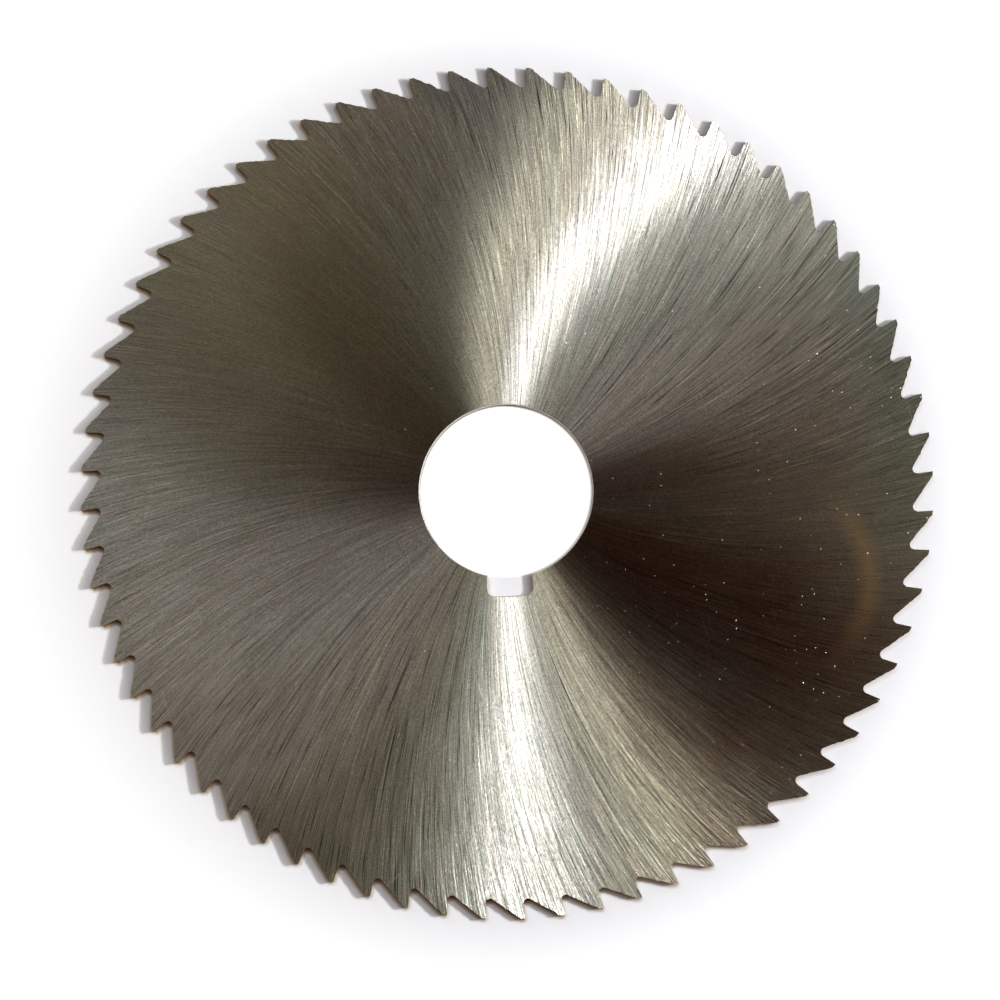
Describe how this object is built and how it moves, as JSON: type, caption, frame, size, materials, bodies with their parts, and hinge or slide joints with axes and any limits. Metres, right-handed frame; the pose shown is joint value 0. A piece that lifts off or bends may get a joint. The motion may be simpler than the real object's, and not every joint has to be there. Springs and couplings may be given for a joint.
{
  "type": "slitting saw",
  "caption": "Thin hollow-ground steel slitting saw with fine hooked teeth round its rim, a bore and a keyway.",
  "frame": {"origin": "on the bore's axis, at the lowest corners of the teeth, where the blade rests on a flat surface", "axes": "+Z out of the side on which the blade turns counter-clockwise to cut, keyway towards -Y, +X to the right of the keyway"},
  "size_m": [0.125, 0.125, 0.0015],
  "materials": {
    "ground_steel": "bright high-speed steel, both sides ground in long curved strokes"
  },
  "bodies": {
    "root": {"blade": "ground_steel"}
  },
  "joints": []
}
